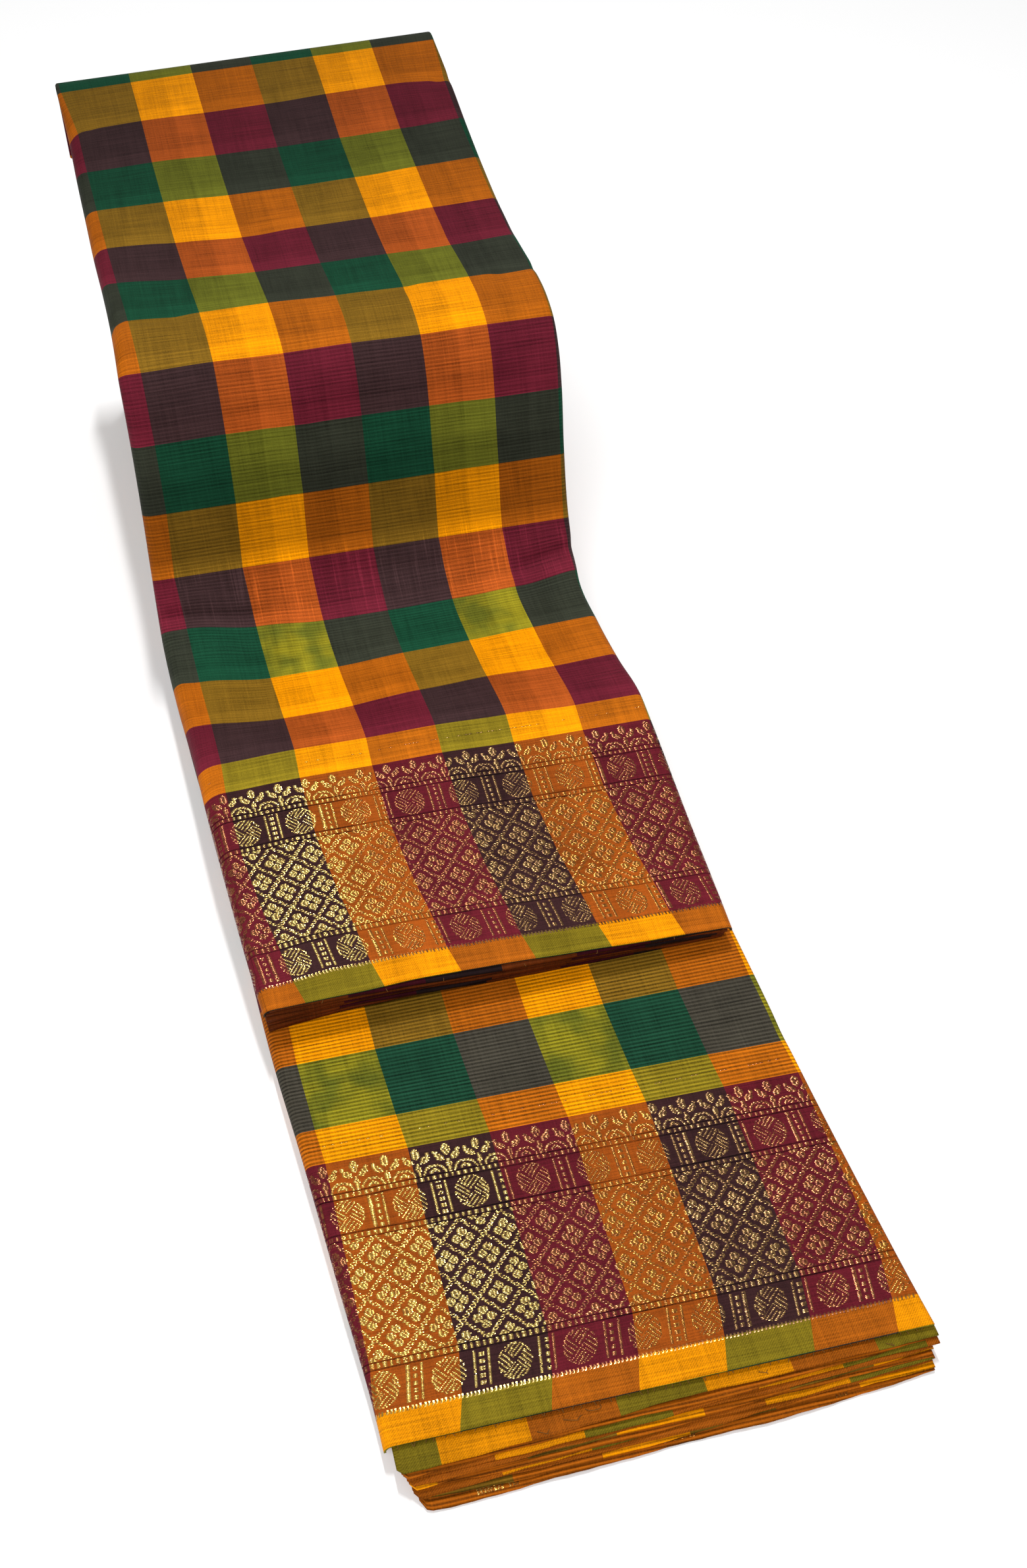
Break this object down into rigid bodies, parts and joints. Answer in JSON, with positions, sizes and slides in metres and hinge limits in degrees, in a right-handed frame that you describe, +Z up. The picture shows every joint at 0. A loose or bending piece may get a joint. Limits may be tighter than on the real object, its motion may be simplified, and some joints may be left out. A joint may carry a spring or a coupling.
{
  "type": "folded sari",
  "caption": "Checked cotton and silk sari with gold woven borders, pleated into a long strip, draped over its own folded pack and folded back into two laps.",
  "frame": {"origin": "on the surface that the sari lies on, under the middle of its footprint", "axes": "+Z up; +Y along the strip, towards the rear fold; +X across the strip, to the right as seen from the front"},
  "size_m": [0.195, 0.6036, 0.1711],
  "materials": {
    "checked_cloth": "checked cotton and silk in marigold, maroon and green, with a soft sheen and a border brocaded in gold thread",
    "selvedge_plies": "finely ribbed selvedge cloth in marigold, olive and rust",
    "inner_layers": "edges of folded plies, checked, in shade",
    "folded_pack": "folds of the same checked cloth, stacked"
  },
  "bodies": {
    "root": {"lower_lap_cloth": "checked_cloth", "lower_lap_layers": "inner_layers", "lower_ply_2": "selvedge_plies", "lower_ply_3": "selvedge_plies", "lower_ply_4": "selvedge_plies", "lower_ply_5": "selvedge_plies", "lower_ply_6": "selvedge_plies", "pack_layers": "folded_pack", "upper_lap_cloth": "checked_cloth", "upper_lap_layers": "inner_layers", "upper_ply_2": "selvedge_plies", "upper_ply_3": "selvedge_plies", "upper_ply_4": "selvedge_plies", "upper_ply_5": "selvedge_plies"}
  },
  "joints": []
}
